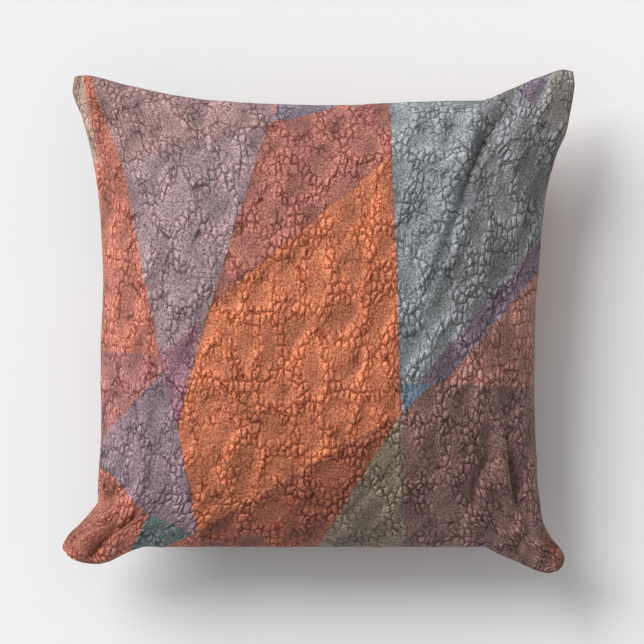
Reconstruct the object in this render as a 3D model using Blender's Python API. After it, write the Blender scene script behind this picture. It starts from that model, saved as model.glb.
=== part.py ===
"""Throw pillow lying on its back: a knife-edge zip-off cover over a fibre-filled insert.

Metres, +Z up. The face looks up, the pillow's top edge is at +Y, and the floor is z = 0.
The zip lies in the seam of the bottom edge, turned down so that the front panel laps over it.
"""
import math

import bmesh
import bpy
import numpy as np

# Driving dimensions
SEAM_HEIGHT = 0.067          # the seam's height over the floor
CROWN = 0.0705               # rise of each panel from its folded edge to its middle
FULLNESS = 0.8               # a lower power makes a fuller crown
CLOTH = 0.0010               # thickness of the cover's cloth
TICKING = 0.0006             # thickness of the insert's cloth
FOLD = 0.0023                # height of a folded edge: two layers of cloth and the air between
SEAM_GAP = 0.00015           # half of the gap between the two folded edges
ALLOWANCE = 0.008            # how far the seam allowance turns inwards
AIR = 0.0003                 # gap between touching pieces
INSERT_DEPTH = 0.0019        # from the cover's outer face to the insert's outer face
FILL_DEPTH = INSERT_DEPTH + TICKING + AIR

ZIP_X = -0.003               # middle of the zip along the bottom edge
ZIP_TILT = math.radians(35)  # how far the zip's mouth turns down from level
ZIP_MOUTH = 0.0047           # half of the opening between the folded edges along the zip
TAPE_HALF = 0.131            # half length of the zip's tapes
COIL_START = -0.1252         # the coils' ends, along the zip from its middle
COIL_END = 0.1229
COIL_RADIUS = 0.0009
COIL_SPREAD = 0.0017         # from the zip's middle line to the middle of each coil
COIL_DEPTH = -0.0034
SLIDER_CLOSED = 0.118        # the slider's place when the zip is closed
TAB_LENGTH = 0.017
HINGE_RISE = -0.0003         # the pull tab's pivot, measured outwards from the mouth

# Grid lines of a panel, from its middle (0) to its seam (1); the insert ends INSERT_RIM lines in.
HALF_LINES = (0, 0.17, 0.34, 0.51, 0.68, 0.76, 0.85, 0.92, 0.97, 1)
ZIP_LINE = 0.68
PLAIN_LINE = 0.76
INSERT_RIM = 2
LABEL_COLUMNS = slice(10, 13)
LABEL_ROWS = slice(3, 6)

# The four edges seen from above, corner to corner, in millimetres: soft ears at the corners,
# sides that pull in between them, and a straight run along the zip.
ZIP_EDGE = -179
TOP_EDGE = ((-194, 194.5), (-186, 195.5), (-162, 190), (-137, 184), (-94, 176.5), (-45, 173),
            (14, 171.5), (60, 173.5), (100, 175), (130, 175.5), (152, 184), (180, 195.5),
            (195, 200), (202.5, 198.5))
RIGHT_EDGE = ((191, -198.5), (194.5, -194), (195.7, -188.7), (193.5, -183.5), (183, -170),
              (177.5, -156), (173.5, -118), (171.5, -50), (172.5, 10), (175, 42), (178, 78),
              (182.5, 109), (190, 134), (197, 150), (200, 165), (203.5, 188), (202.5, 198.5))
BOTTOM_EDGE = ((-198.5, -187), (-188, -192.5), (-178, -193.5), (-168, -191.8), (-152, -184),
               (-136.3, ZIP_EDGE), (130.3, ZIP_EDGE), (145, -186.2), (160, -192.5), (174, -198.8),
               (182.5, -200.7), (191, -198.5))
LEFT_EDGE = ((-198.5, -187), (-204, -180.5), (-199.5, -171), (-190, -162), (-181, -151.5),
             (-175.5, -143), (-175.5, -130), (-173, -88), (-173.5, -25), (-171.5, 30),
             (-172.5, 62), (-175, 100), (-181.5, 136), (-188, 162), (-196, 184), (-194, 194.5))


# Shape of the pillow

def slopes(x, y):
    """Slope at each point of a curve: none at a crest or on a straight run, so that neither overshoots."""
    run = np.diff(y) / np.diff(x)
    before, after = run[:-1], run[1:]
    product = before * after
    total = np.where(product > 0, before + after, 1)
    inner = np.where(product > 0, 2 * product / total, 0)
    return np.concatenate([run[:1], inner, run[-1:]])


def edge_curve(points, along, params):
    """Smooth curve through an edge's points, read at steps of its coordinate `along`."""
    pts = np.array(points) / 1000
    x, y = pts[:, along], pts[:, 1 - along]
    slope = slopes(x, y)
    at = x[0] + (x[-1] - x[0]) * (1 + params) / 2
    k = np.clip(np.searchsorted(x, at) - 1, 0, len(x) - 2)
    h = x[k + 1] - x[k]
    t = (at - x[k]) / h
    value = ((2 * t**3 - 3 * t**2 + 1) * y[k] + (t**3 - 2 * t**2 + t) * h * slope[k]
             + (3 * t**2 - 2 * t**3) * y[k + 1] + (t**3 - t**2) * h * slope[k + 1])
    pair = (at, value) if along == 0 else (value, at)
    return np.stack(pair, axis=-1)


def grid_lines():
    """All grid lines of a panel, from one seam (-1) to the other (1)."""
    half = np.array(HALF_LINES)
    return np.concatenate([-half[:0:-1], half])


def plan_grid():
    """Plan position of every grid point: a surface patch stretched between the four edges."""
    lines = grid_lines()
    bottom = edge_curve(BOTTOM_EDGE, 0, lines)
    top = edge_curve(TOP_EDGE, 0, lines)
    left = edge_curve(LEFT_EDGE, 1, lines)
    right = edge_curve(RIGHT_EDGE, 1, lines)
    s = ((1 + lines) / 2)[None, :, None]
    t = ((1 + lines) / 2)[:, None, None]
    across = (1 - t) * bottom[None] + t * top[None]
    upward = (1 - s) * left[:, None] + s * right[:, None]
    corners = ((1 - s) * (1 - t) * bottom[0] + s * (1 - t) * bottom[-1]
               + (1 - s) * t * top[0] + s * t * top[-1])
    return across + upward - corners


def ring_of(grid):
    """The grid's border points, anticlockwise from its lower left corner."""
    return np.concatenate([grid[0, :-1], grid[:-1, -1], grid[-1, :0:-1], grid[:0:-1, 0]])


def with_border(grid, ring):
    """A copy of the grid with its border points replaced by those of a ring."""
    grid = grid.copy()
    last = len(grid) - 1
    grid[0, :-1] = ring[:last]
    grid[:-1, -1] = ring[last:2 * last]
    grid[-1, :0:-1] = ring[2 * last:3 * last]
    grid[:0:-1, 0] = ring[3 * last:]
    return grid


def zip_weights():
    """1 on the border points along the zip and 0 on the plain seam."""
    lines = grid_lines()
    weights = np.zeros((len(lines), len(lines)))
    weights[0] = np.clip((PLAIN_LINE - np.abs(lines)) / (PLAIN_LINE - ZIP_LINE), 0, 1)
    return ring_of(weights)


def mouth_shape(weight):
    """Half opening, tilt and setback of the seam's mouth. The setback keeps the front fold on the edge."""
    half = SEAM_GAP + (ZIP_MOUTH - SEAM_GAP) * weight
    tilt = ZIP_TILT * weight
    return half, tilt, (half + FOLD / 2) * np.sin(tilt)


def spokes(ring):
    """Direction from the middle out to each point, one long across the edge it is on."""
    return ring / np.abs(ring).max(axis=1, keepdims=True)


def seam_ring(border, weight, outward, rise):
    """Border points moved `outward` through the seam's mouth and by `rise` across it."""
    _, tilt, setback = mouth_shape(weight)
    reach = outward * np.cos(tilt) + rise * np.sin(tilt) - setback
    spoke = spokes(border)
    spoke[:, 0] *= 1 - weight
    flat = border + spoke * reach[:, None]
    height = SEAM_HEIGHT - outward * np.sin(tilt) + rise * np.cos(tilt)
    return np.column_stack([flat, height])


def outer_surface(side):
    """Outer face of a cover panel as a grid of points: side is 1 for the front, -1 for the back."""
    lines = grid_lines()
    plan = plan_grid()
    bulge = (1 - np.abs(lines) ** 3)
    crown = CROWN * np.outer(bulge, bulge) ** FULLNESS
    weight = np.clip((PLAIN_LINE - np.abs(lines)) / (PLAIN_LINE - ZIP_LINE), 0, 1)
    half, tilt, setback = mouth_shape(weight)
    inward = setback - side * (half + FOLD) * np.sin(tilt)
    lift = (half + FOLD) * np.cos(tilt) - (SEAM_GAP + FOLD)
    fade = np.clip(1 - (lines + 1) / 0.45, 0, 1) ** 2
    plan = plan.copy()
    plan[..., 1] += np.outer(fade, inward)
    height = SEAM_HEIGHT + side * (SEAM_GAP + FOLD + crown + np.outer(fade, lift))
    return np.dstack([plan, np.maximum(height, 0)])


def outward_normals(grid, side):
    """Unit normal at each grid point, pointing out of the pillow."""
    normals = np.cross(np.gradient(grid, axis=1), np.gradient(grid, axis=0)) * side
    return normals / np.linalg.norm(normals, axis=2, keepdims=True)


def inset(grid, side, depth):
    """The grid moved into the pillow by `depth`."""
    return grid - outward_normals(grid, side) * depth


# Mesh building

class Shell:
    """Points and triangles of one closed sheet."""

    def __init__(self):
        self.points = []
        self.faces = []

    def add(self, points):
        """Add points and return their numbers in the same layout."""
        flat = np.asarray(points).reshape(-1, 3)
        first = len(self.points)
        self.points.extend(map(tuple, flat))
        return np.arange(first, first + len(flat)).reshape(np.shape(points)[:-1])

    def quad(self, a, b, c, d):
        self.faces.append((a, b, c))
        self.faces.append((a, c, d))

    def patch(self, numbers, middle=None):
        """Fill a grid; its diagonals point to the pillow's middle, so that nested sheets stay parallel."""
        rows, columns = numbers.shape
        middle_row, middle_column = middle or (rows // 2, columns // 2)
        for j in range(rows - 1):
            for i in range(columns - 1):
                corner = (numbers[j, i], numbers[j, i + 1], numbers[j + 1, i + 1], numbers[j + 1, i])
                towards_middle = (j >= middle_row) == (i >= middle_column)
                start = 0 if towards_middle else 1
                self.quad(*(corner[(start + k) % 4] for k in range(4)))

    def band(self, first, second, closed=True):
        """Join two rings, or two open rows of points, with triangles."""
        count = len(first)
        for k in range(count if closed else count - 1):
            n = (k + 1) % count
            self.quad(first[k], first[n], second[n], second[k])

    def build(self, name):
        return solid_object(name, self.points, self.faces)


def solid_object(name, points, faces):
    """An object from points and faces, with its faces turned outwards and round parts smooth."""
    mesh = bpy.data.meshes.new(name)
    mesh.from_pydata([tuple(map(float, p)) for p in points], [], [tuple(map(int, f)) for f in faces])
    work = bmesh.new()
    work.from_mesh(mesh)
    bmesh.ops.recalc_face_normals(work, faces=work.faces)
    work.to_mesh(mesh)
    work.free()
    mesh.shade_smooth()
    mesh.set_sharp_from_angle(angle=math.radians(40))
    obj = bpy.data.objects.new(name, mesh)
    bpy.context.collection.objects.link(obj)
    return obj


def extruded(name, outline, low, high, axis):
    """A prism: the outline's pairs fill the two axes after `axis`, in X, Y, Z order."""
    def place(pair, level):
        point = list(pair)
        point.insert(axis, level)
        return point
    count = len(outline)
    points = [place(p, low) for p in outline] + [place(p, high) for p in outline]
    sides = [(k, (k + 1) % count, count + (k + 1) % count, count + k) for k in range(count)]
    caps = [tuple(range(count)), tuple(range(2 * count - 1, count - 1, -1))]
    return solid_object(name, points, sides + caps)


def box(name, low, high):
    outline = ((low[1], low[2]), (high[1], low[2]), (high[1], high[2]), (low[1], high[2]))
    return extruded(name, outline, low[0], high[0], 0)


def unite(obj, others):
    """Join other solids to an object with Boolean unions; the others become hidden guides."""
    for other in others:
        other.parent = obj
        other.hide_render = True
        other.display_type = "WIRE"
        union = obj.modifiers.new(other.name, "BOOLEAN")
        union.operation = "UNION"
        union.object = other


def finish(obj, colour, roughness, metallic=0.0, parent=None):
    """Give a piece its own material, and place it under its parent."""
    material = bpy.data.materials.new(obj.name)
    material.use_nodes = True
    shader = material.node_tree.nodes["Principled BSDF"]
    shader.inputs["Base Color"].default_value = (*colour, 1)
    shader.inputs["Roughness"].default_value = roughness
    shader.inputs["Metallic"].default_value = metallic
    obj.data.materials.append(material)
    obj.parent = parent
    return obj


# Cover

def cover_panel(name, side):
    """One panel: the crowned sheet, its folded edge, and the allowance turned in under it."""
    outer = outer_surface(side)
    border = ring_of(plan_grid())
    weight = zip_weights()
    half = mouth_shape(weight)[0]
    crease = seam_ring(border, weight, -CLOTH * 1.35, side * (half + CLOTH * 1.4))
    shell = Shell()
    face = shell.add(outer)
    lining = shell.add(with_border(inset(outer, side, CLOTH), crease))
    fold = ((0, FOLD * 0.65), (0, FOLD * 0.35), (-FOLD * 0.15, 0), (-ALLOWANCE, 0),
            (-ALLOWANCE, CLOTH), (-CLOTH * 1.35, CLOTH))
    rings = [ring_of(face)]
    for outward, rise in fold:
        rings.append(shell.add(seam_ring(border, weight, outward, side * (half + rise))))
    rings.append(ring_of(lining))
    shell.patch(face)
    shell.patch(lining)
    for first, second in zip(rings[:6], rings[1:6]):
        shell.band(first, second)
    # The way back along the allowance: joined in reverse, so that its diagonals match its underside.
    for first, second in zip(rings[5:], rings[6:]):
        shell.band(second, first)
    return shell.build(name)


def overlock_thread():
    """The band of thread over the raw edges of both allowances, where the seam has no zip."""
    border = ring_of(plan_grid())
    weight = zip_weights()
    plain = np.flatnonzero(weight == 0)
    gap = int(np.argmax(np.diff(plain))) + 1
    run = np.concatenate([plain[gap:], plain[:gap]])
    near = -ALLOWANCE - AIR
    far = near - 0.001
    shell = Shell()
    rows = []
    for outward, rise in ((near, 0.0015), (far, 0.0015), (far, -0.0015), (near, -0.0015)):
        rows.append(shell.add(seam_ring(border[run], weight[run], outward, rise)))
    for first, second in zip(rows, rows[1:] + rows[:1]):
        shell.band(first, second, closed=False)
    shell.quad(*(row[0] for row in rows))
    shell.quad(*(row[-1] for row in rows))
    return shell.build("cover_overlock_thread")


# Zip, in its own axes: x along the zip, y across it towards the front panel, z out of its mouth

def zip_frame():
    """Empty at the middle of the zip's mouth, on the slider's line of travel."""
    empty = bpy.data.objects.new("zip_frame", None)
    setback = (ZIP_MOUTH + FOLD / 2) * math.sin(ZIP_TILT)
    empty.location = (ZIP_X, ZIP_EDGE / 1000 + setback, SEAM_HEIGHT)
    empty.rotation_euler = (math.pi / 2 + ZIP_TILT, 0, 0)
    bpy.context.collection.objects.link(empty)
    return empty


def mirrored(outline, side):
    """The outline on the front (1) or the back (-1) half of the zip."""
    return [(side * y, z) for y, z in outline]


def zip_tape(name, side):
    """Woven tape: a lip that holds the coil, and a leg that lies along the panel's allowance."""
    outline = ((0.0029, -0.00315), (0.0044, -0.00315), (0.0044, -0.009), (0.0039, -0.009),
               (0.0039, -0.00365), (0.0029, -0.00365))
    return extruded(name, mirrored(outline, side), -TAPE_HALF, TAPE_HALF, 0)


def zip_coil(name, side):
    """One row of the coil, as a plain round bar."""
    sides = 12
    outline = []
    for k in range(sides):
        turn = 2 * math.pi * k / sides
        outline.append((side * COIL_SPREAD + COIL_RADIUS * math.cos(turn),
                        COIL_DEPTH + COIL_RADIUS * math.sin(turn)))
    return extruded(name, outline, COIL_START, COIL_END, 0)


def zip_stitching(name, side):
    """The row of thread that holds a tape's leg to its panel."""
    low, high = sorted((side * 0.0032, side * 0.0036))
    return box(name, (-TAPE_HALF + 0.003, low, -0.0076), (TAPE_HALF - 0.003, high, -0.0072))


def zip_stop(name, x_low, x_high, y_low, y_high):
    """A metal staple clamped over the end of the coil."""
    stop = box(name, (x_low, y_low, -0.0046), (x_high, y_high, -0.0022))
    soften(stop, 0.0003)
    return stop


def soften(obj, width):
    """Round off the edges of a small metal part."""
    bevel = obj.modifiers.new("edges", "BEVEL")
    bevel.width = width
    bevel.segments = 2
    bevel.limit_method = "ANGLE"


def slider_plate(name, face, step, lip):
    """One channel-shaped plate: `face` is its outer level, `step` its inner level, `lip` its side walls' end."""
    outline = ((-0.0035, face), (0.0035, face), (0.0035, lip), (0.0029, lip),
               (0.0029, step), (-0.0029, step), (-0.0029, lip), (-0.0035, lip))
    return extruded(name, outline, -0.0045, 0.0045, 0)


def zip_slider():
    """Two plates around the coils, joined by the post at the leading end, with a bridge for the pull tab."""
    slider = slider_plate("zipper_slider", -0.0013, -0.0022, -0.0029)
    inner = slider_plate("slider_inner_plate", -0.0056, -0.0047, -0.0039)
    post = box("slider_post", (0.0018, -0.0005, -0.0049), (0.0042, 0.0005, -0.002))
    arch = ((-0.0028, -0.0016), (-0.0028, 0.0008), (-0.0022, 0.0013), (0.0022, 0.0013),
            (0.0028, 0.0008), (0.0028, -0.0016), (0.0019, -0.0016), (0.0019, 0.0006),
            (-0.0019, 0.0006), (-0.0019, -0.0016))
    bridge = extruded("slider_bridge", arch, -0.0006, 0.0006, 1)
    unite(slider, (inner, post, bridge))
    return slider


def pull_tab():
    """Flat tab with a window that goes round the slider's bridge; its origin is on the pivot."""
    thick = 0.0006
    tip = TAB_LENGTH
    outline = ((0.0006, -0.002), (0.0006, 0.002), (-0.004, 0.0025), (-tip + 0.002, 0.0025),
               (-tip, 0.0012), (-tip, -0.0012), (-tip + 0.002, -0.0025), (-0.004, -0.0025))
    tab = extruded("zipper_pull_tab", outline, -thick, thick, 2)
    window = box("tab_window", (-0.0036, -0.001, -0.002), (-0.0006, 0.001, 0.002))
    window.hide_render = True
    window.display_type = "WIRE"
    window.parent = tab
    cut = tab.modifiers.new("window", "BOOLEAN")
    cut.operation = "DIFFERENCE"
    cut.object = window
    soften(tab, 0.0002)
    return tab


# Insert

def insert_ring(depth, rise):
    """The insert's seam: a ring inside the cover, `depth` in from its edge."""
    back = outer_surface(-1)[INSERT_RIM:-INSERT_RIM, INSERT_RIM:-INSERT_RIM, :2]
    ring = ring_of(back)
    return np.column_stack([ring - spokes(ring) * depth, np.full(len(ring), SEAM_HEIGHT + rise)])


def insert_grid(side, depth, ring):
    """A panel's grid moved in by `depth` and cut down to the insert, with its border on the ring."""
    grid = inset(outer_surface(side), side, depth)[INSERT_RIM:-INSERT_RIM, INSERT_RIM:-INSERT_RIM]
    return with_border(grid, ring)


def insert_ticking(name, side):
    """One panel of the insert's plain white cloth."""
    rise = side * 0.00075
    shell = Shell()
    face = shell.add(insert_grid(side, INSERT_DEPTH, insert_ring(0, rise)))
    lining = shell.add(insert_grid(side, INSERT_DEPTH + TICKING, insert_ring(0.0008, rise)))
    shell.patch(face)
    shell.patch(lining)
    shell.band(ring_of(face), ring_of(lining))
    return shell.build(name)


def insert_thread():
    """The closing row of stitches between the insert's two panels."""
    shell = Shell()
    rings = []
    for depth, rise in ((0, 0.0004), (0.0008, 0.0004), (0.0008, -0.0004), (0, -0.0004)):
        rings.append(shell.add(insert_ring(depth, rise)))
    for first, second in zip(rings, rings[1:] + rings[:1]):
        shell.band(first, second)
    return shell.build("insert_seam_thread")


def insert_label():
    """A blank care label lying on the back of the insert."""
    middle = len(HALF_LINES) - 1
    shell = Shell()
    faces = []
    for depth in (CLOTH + AIR, CLOTH + 2 * AIR):
        whole = inset(outer_surface(-1), -1, depth)
        faces.append(shell.add(whole[LABEL_ROWS, LABEL_COLUMNS]))
        shell.patch(faces[-1], (middle - LABEL_ROWS.start, middle - LABEL_COLUMNS.start))
    shell.band(ring_of(faces[0]), ring_of(faces[1]))
    return shell.build("insert_label")


def fibre_fill():
    """The polyester filling, as one solid."""
    ring = insert_ring(0.002, 0)
    shell = Shell()
    front = shell.add(insert_grid(1, FILL_DEPTH, ring))
    back = front.copy()
    back[1:-1, 1:-1] = shell.add(insert_grid(-1, FILL_DEPTH, ring)[1:-1, 1:-1])
    shell.patch(front)
    shell.patch(back)
    return shell.build("fibre_fill")


def make_cover():
    leather = (0.42, 0.19, 0.12)
    finish(cover_panel("cover_front_panel", 1), leather, 0.65)
    finish(cover_panel("cover_back_panel", -1), (0.30, 0.20, 0.17), 0.7)
    finish(overlock_thread(), (0.25, 0.16, 0.13), 0.8)


def make_zip():
    tape, coil, metal = (0.16, 0.10, 0.08), (0.10, 0.06, 0.05), (0.45, 0.38, 0.28)
    frame = zip_frame()
    for name, side in (("front", 1), ("back", -1)):
        finish(zip_tape(f"zipper_tape_{name}", side), tape, 0.85, parent=frame)
        finish(zip_coil(f"zipper_coil_{name}", side), coil, 0.4, parent=frame)
        finish(zip_stitching(f"zipper_stitching_{name}", side), tape, 0.8, parent=frame)
        low, high = sorted((side * 0.0008, side * 0.0026))
        stop = zip_stop(f"zipper_top_stop_{name}", 0.1232, 0.1252, low, high)
        finish(stop, metal, 0.35, 1.0, parent=frame)
    end = zip_stop("zipper_bottom_stop", -0.128, -0.1255, -0.0026, 0.0026)
    finish(end, metal, 0.35, 1.0, parent=frame)
    slider = finish(zip_slider(), metal, 0.3, 1.0, parent=frame)
    slider.location = (SLIDER_CLOSED, 0, 0)
    tab = finish(pull_tab(), metal, 0.3, 1.0, parent=slider)
    tab.location = (0, 0, HINGE_RISE)


def make_insert():
    white = (0.80, 0.79, 0.76)
    finish(insert_ticking("insert_front_ticking", 1), white, 0.9)
    finish(insert_ticking("insert_back_ticking", -1), white, 0.9)
    finish(insert_thread(), white, 0.85)
    finish(insert_label(), (0.85, 0.85, 0.82), 0.6)
    finish(fibre_fill(), (0.88, 0.88, 0.87), 0.95)


for old in list(bpy.data.objects):
    bpy.data.objects.remove(old)
make_cover()
make_zip()
make_insert()
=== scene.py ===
"""Looks of the throw pillow: a zip-off leather-look cover with a colour-block print, over a filled insert.

Metres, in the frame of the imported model: the face looks up, the pillow's top edge is at +Y, and the
floor is z = 0. The cover's cloth is simulated, and everything inside it is built from its result.
"""
import math

import bpy
import numpy as np
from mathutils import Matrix, Vector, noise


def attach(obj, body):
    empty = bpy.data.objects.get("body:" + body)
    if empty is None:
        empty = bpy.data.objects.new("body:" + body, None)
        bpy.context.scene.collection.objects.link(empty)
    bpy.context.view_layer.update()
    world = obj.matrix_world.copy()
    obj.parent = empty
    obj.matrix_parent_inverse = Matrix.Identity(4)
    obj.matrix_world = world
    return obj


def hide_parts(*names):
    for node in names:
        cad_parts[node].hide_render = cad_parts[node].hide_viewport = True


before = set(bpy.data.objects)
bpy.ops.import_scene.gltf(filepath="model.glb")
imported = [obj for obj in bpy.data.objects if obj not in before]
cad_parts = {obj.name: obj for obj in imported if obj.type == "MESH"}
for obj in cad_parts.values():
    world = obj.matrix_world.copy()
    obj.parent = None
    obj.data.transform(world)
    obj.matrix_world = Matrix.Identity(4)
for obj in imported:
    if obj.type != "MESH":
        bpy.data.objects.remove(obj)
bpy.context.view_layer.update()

SIDES = (("front", 1), ("back", -1))

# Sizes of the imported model, which the cloth and the zip have to meet
SEAM_HEIGHT = 0.067          # the seam's height over the floor
HALF_WIDTH = 0.173           # from the middle of a panel to the middle of its sides
CROWN = 0.0705               # rise of each panel from its folded edge to its middle
FULLNESS = 0.8
CLOTH = 0.0010               # thickness of the cover's cloth
TICKING = 0.0006             # thickness of the insert's cloth
FOLD = 0.0023                # height of a folded edge
SEAM_GAP = 0.00015           # half of the gap between the two folded edges
ALLOWANCE = 0.008            # how far the seam allowance turns inwards
ZIP_X = -0.003               # middle of the zip along the bottom edge
ZIP_TILT = math.radians(35)  # how far the zip's mouth turns down from level
ZIP_MOUTH = 0.0047           # half of the opening between the folded edges along the zip
MOUTH_FADE = 0.45            # share of the panel's half over which its rise to the mouth fades
ZIP_LINE = 0.68              # the mouth is fully open up to this grid line,
PLAIN_LINE = 0.76            # and the seam is closed from this one
TAPE_HALF = 0.131            # half length of the zip's tapes
COIL_START, COIL_END = -0.1252, 0.1229
COIL_SPREAD = 0.0017         # from the zip's middle line to the middle of each coil
COIL_DEPTH = -0.0034         # the coils' place behind the mouth
STITCH_SPREAD = 0.0034       # from the zip's middle line to the stitching of each tape
STITCH_DEPTH = -0.0074

# The four edges of the model seen from above, corner to corner, in millimetres
ZIP_EDGE = -179
TOP_EDGE = ((-194, 194.5), (-186, 195.5), (-162, 190), (-137, 184), (-94, 176.5), (-45, 173),
            (14, 171.5), (60, 173.5), (100, 175), (130, 175.5), (152, 184), (180, 195.5),
            (195, 200), (202.5, 198.5))
RIGHT_EDGE = ((191, -198.5), (194.5, -194), (195.7, -188.7), (193.5, -183.5), (183, -170),
              (177.5, -156), (173.5, -118), (171.5, -50), (172.5, 10), (175, 42), (178, 78),
              (182.5, 109), (190, 134), (197, 150), (200, 165), (203.5, 188), (202.5, 198.5))
BOTTOM_EDGE = ((-198.5, -187), (-188, -192.5), (-178, -193.5), (-168, -191.8), (-152, -184),
               (-136.3, ZIP_EDGE), (130.3, ZIP_EDGE), (145, -186.2), (160, -192.5), (174, -198.8),
               (182.5, -200.7), (191, -198.5))
LEFT_EDGE = ((-198.5, -187), (-204, -180.5), (-199.5, -171), (-190, -162), (-181, -151.5),
             (-175.5, -143), (-175.5, -130), (-173, -88), (-173.5, -25), (-171.5, 30),
             (-172.5, 62), (-175, 100), (-181.5, 136), (-188, 162), (-196, 184), (-194, 194.5))

# Cloth meshes: the simulated grid, and how many fine cells each of its cells gets
CELLS = 94
FINER = 3
CLOTH_HALF = 205             # half width of a panel laid flat, in millimetres
CLOTH_STEPS = 20
PRESSURE = 4
SLACK = 0.03                 # how much longer the cloth near the seam is than the form it starts from
SLACK_CELLS = 14             # grid cells from the seam over which that slack fades
REACH = 0.009                # how far the simulation may move a point

RELIEF_TOP = 0.0031          # how far the leather's relief stands over the smooth outer face
SOFT_REST = 0.003            # height over which the cloth flattens where it comes to rest

# Depths below the smooth outer face of the cover
LINING_DEPTH = 0.0012
INSERT_DEPTH = 0.0021
FILL_DEPTH = INSERT_DEPTH + TICKING + 0.0003
LABEL_DEPTHS = (0.0015, 0.0018)
INSERT_RIM = 6               # grid cells between the cover's seam and the insert's
INSERT_ROUND = 7             # grid cells over which the insert's side rounds off
INSERT_RISE = 0.00075        # from the insert's seam to the edge of each ticking panel


# Form

def slopes(x, y):
    """Slope at each point of a curve: none at a crest or on a straight run, so that neither overshoots."""
    run = np.diff(y) / np.diff(x)
    before, after = run[:-1], run[1:]
    product = before * after
    total = np.where(product > 0, before + after, 1)
    inner = np.where(product > 0, 2 * product / total, 0)
    return np.concatenate([run[:1], inner, run[-1:]])


def edge_curve(points, along, params):
    """Smooth curve through an edge's points, read at steps of its coordinate `along`."""
    pts = np.array(points) / 1000
    x, y = pts[:, along], pts[:, 1 - along]
    slope = slopes(x, y)
    at = x[0] + (x[-1] - x[0]) * (1 + params) / 2
    k = np.clip(np.searchsorted(x, at) - 1, 0, len(x) - 2)
    h = x[k + 1] - x[k]
    t = (at - x[k]) / h
    value = ((2 * t**3 - 3 * t**2 + 1) * y[k] + (t**3 - 2 * t**2 + t) * h * slope[k]
             + (3 * t**2 - 2 * t**3) * y[k + 1] + (t**3 - t**2) * h * slope[k + 1])
    pair = (at, value) if along == 0 else (value, at)
    return np.stack(pair, axis=-1)


def crown_profile(lines):
    """Share of the crown's height at each grid line: 1 in the middle and 0 at the seam."""
    return 1 - np.abs(lines) ** 3


def grid_lines(cells):
    """Grid lines from seam (-1) to seam (1), at equal steps along the cloth of the middle section."""
    lines = np.linspace(0, 1, 4001)
    width = HALF_WIDTH * lines
    height = CROWN * crown_profile(lines) ** FULLNESS
    length = np.concatenate([[0], np.cumsum(np.hypot(np.diff(width), np.diff(height)))])
    half = np.interp(np.linspace(0, length[-1], cells // 2 + 1), length, lines)
    return np.concatenate([-half[:0:-1], half])


def plan_grid(lines):
    """Plan position of every grid point: a surface patch stretched between the four edges."""
    bottom = edge_curve(BOTTOM_EDGE, 0, lines)
    top = edge_curve(TOP_EDGE, 0, lines)
    left = edge_curve(LEFT_EDGE, 1, lines)
    right = edge_curve(RIGHT_EDGE, 1, lines)
    s = ((1 + lines) / 2)[None, :, None]
    t = ((1 + lines) / 2)[:, None, None]
    across = (1 - t) * bottom[None] + t * top[None]
    upward = (1 - s) * left[:, None] + s * right[:, None]
    corners = ((1 - s) * (1 - t) * bottom[0] + s * (1 - t) * bottom[-1]
               + (1 - s) * t * top[0] + s * t * top[-1])
    return across + upward - corners


def ring_of(grid):
    """The grid's border points, anticlockwise from its lower left corner."""
    return np.concatenate([grid[0, :-1], grid[:-1, -1], grid[-1, :0:-1], grid[:0:-1, 0]])


def cells_to_border(cells):
    """How many cells each point of a square grid is away from its border."""
    steps = np.minimum(np.arange(cells + 1), np.arange(cells + 1)[::-1])
    return np.minimum.outer(steps, steps)


def with_border(grid, ring):
    """A copy of the grid with its border points replaced by those of a ring."""
    grid = grid.copy()
    last = len(grid) - 1
    grid[0, :-1] = ring[:last]
    grid[:-1, -1] = ring[last:2 * last]
    grid[-1, :0:-1] = ring[2 * last:3 * last]
    grid[:0:-1, 0] = ring[3 * last:]
    return grid


def zip_share(lines):
    """1 at the grid lines that meet the zip and 0 at those that meet the plain seam."""
    return np.clip((PLAIN_LINE - np.abs(lines)) / (PLAIN_LINE - ZIP_LINE), 0, 1)


def mouth_shape(weight):
    """Half opening, tilt and setback of the seam's mouth."""
    half = SEAM_GAP + (ZIP_MOUTH - SEAM_GAP) * weight
    tilt = ZIP_TILT * weight
    return half, tilt, (half + FOLD / 2) * np.sin(tilt)


def spokes(ring):
    """Direction from the middle out to each point, one long across the edge it is on."""
    return ring / np.abs(ring).max(axis=1, keepdims=True)


def seam_line(lines):
    """Plan position of each border point, and its weight: 1 along the zip and 0 on the plain seam."""
    weights = np.zeros((len(lines), len(lines)))
    weights[0] = zip_share(lines)
    return ring_of(plan_grid(lines)), ring_of(weights)


def seam_ring(border, weight, outward, rise):
    """Border points moved `outward` through the seam's mouth and by `rise` across it."""
    _, tilt, setback = mouth_shape(weight)
    reach = outward * np.cos(tilt) + rise * np.sin(tilt) - setback
    spoke = spokes(border)
    spoke[:, 0] *= 1 - weight
    flat = border + spoke * reach[:, None]
    height = SEAM_HEIGHT - outward * np.sin(tilt) + rise * np.cos(tilt)
    return np.column_stack([flat, height])


def outer_surface(side, lines):
    """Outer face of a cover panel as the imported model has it; side is 1 for the front, -1 for the back."""
    plan = plan_grid(lines)
    bulge = crown_profile(lines)
    crown = CROWN * np.outer(bulge, bulge) ** FULLNESS
    half, tilt, setback = mouth_shape(zip_share(lines))
    inward = setback - side * (half + FOLD) * np.sin(tilt)
    lift = (half + FOLD) * np.cos(tilt) - (SEAM_GAP + FOLD)
    fade = np.clip(1 - (lines + 1) / MOUTH_FADE, 0, 1) ** 2
    plan[..., 1] += np.outer(fade, inward)
    height = SEAM_HEIGHT + side * (SEAM_GAP + FOLD + crown + np.outer(fade, lift))
    return np.dstack([plan, height])


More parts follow.
